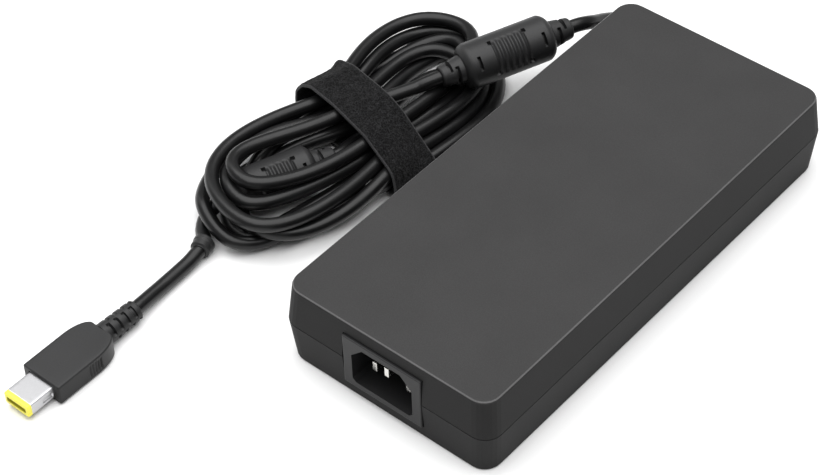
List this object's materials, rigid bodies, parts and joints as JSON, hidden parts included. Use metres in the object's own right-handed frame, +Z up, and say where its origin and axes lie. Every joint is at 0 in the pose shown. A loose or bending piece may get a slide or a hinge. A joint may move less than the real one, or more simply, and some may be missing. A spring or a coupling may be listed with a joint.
{
  "type": "laptop power adapter",
  "caption": "Flat rectangular mains power brick with a chamfered three-pin inlet and a wound low-voltage lead carrying ferrites, a tie strap and a rectangular plug.",
  "frame": {"origin": "on the surface it rests on, under the middle of the case's footprint", "axes": "+Y from the mains inlet end to the DC lead end, +X towards the long side away from the wound lead, +Z up"},
  "size_m": [0.1639, 0.2769, 0.032],
  "materials": {
    "case_plastic": "fine matte texture",
    "inlet_plastic": "satin",
    "moulded_rubber": "satin, moulded",
    "cord_sheath": "soft satin sheath",
    "strap_fabric": "brushed loop pile",
    "nickel_plate": "bright nickel plate",
    "plug_steel": "satin plated steel",
    "tip_plastic": "smooth yellow",
    "label_film": "plain satin film",
    "board_laminate": "green glass laminate",
    "insulating_film": "plain film",
    "bare_aluminium": "bare sheet",
    "enamelled_copper": "enamelled winding",
    "ferrite_ceramic": "dark sintered",
    "epoxy_package": "moulded epoxy",
    "capacitor_box": "box film capacitor",
    "capacitor_sleeve": "shrink sleeve",
    "fuse_ceramic": "white ceramic tube",
    "winding_tape": "yellow tape"
  },
  "bodies": {
    "adapter": {"boost_diode": "epoxy_package", "bottom_cover": "case_plastic", "bridge_rectifier": "epoxy_package", "bulk_capacitor_1": "capacitor_sleeve", "bulk_capacitor_2": "capacitor_sleeve", "control_board": "board_laminate", "cord_hank": "cord_sheath", "cord_to_hank": "cord_sheath", "dc_strain_relief": "moulded_rubber", "ferrite_a_core": "ferrite_ceramic", "ferrite_a_housing": "moulded_rubber", "ferrite_b_core": "ferrite_ceramic", "ferrite_b_housing": "moulded_rubber", "ferrite_b_lead": "cord_sheath", "heat_spreader": "bare_aluminium", "inlet_housing": "inlet_plastic", "inlet_pin_earth": "nickel_plate", "inlet_pin_line": "nickel_plate", "inlet_pin_neutral": "nickel_plate", "insulating_sheet": "insulating_film", "lead_collar": "moulded_rubber", "main_board": "board_laminate", "mains_choke_core": "ferrite_ceramic", "mains_choke_winding_line": "enamelled_copper", "mains_choke_winding_neutral": "enamelled_copper", "mains_fuse": "fuse_ceramic", "optocoupler": "epoxy_package", "output_capacitor_1": "capacitor_sleeve", "output_capacitor_2": "capacitor_sleeve", "output_capacitor_3": "capacitor_sleeve", "output_rectifier_1": "epoxy_package", "output_rectifier_2": "epoxy_package", "output_terminal_block": "epoxy_package", "pfc_choke": "enamelled_copper", "plug_barrel": "plug_steel", "plug_contact": "nickel_plate", "plug_housing": "moulded_rubber", "plug_lead": "cord_sheath", "plug_strain_relief": "moulded_rubber", "plug_tip": "tip_plastic", "primary_heatsink": "bare_aluminium", "primary_transistor": "epoxy_package", "rating_label": "label_film", "resonant_capacitor": "capacitor_box", "secondary_heatsink": "bare_aluminium", "top_cover": "case_plastic", "transformer_core": "ferrite_ceramic", "transformer_winding": "winding_tape", "x_capacitor": "capacitor_box"},
    "strap": {"hook_and_loop_strap": "strap_fabric"}
  },
  "joints": [
    {"name": "strap_slide", "type": "slide", "parent": "adapter", "child": "strap", "axis": [0, 1, 0], "range_m": [-0.006, 0.006]}
  ]
}
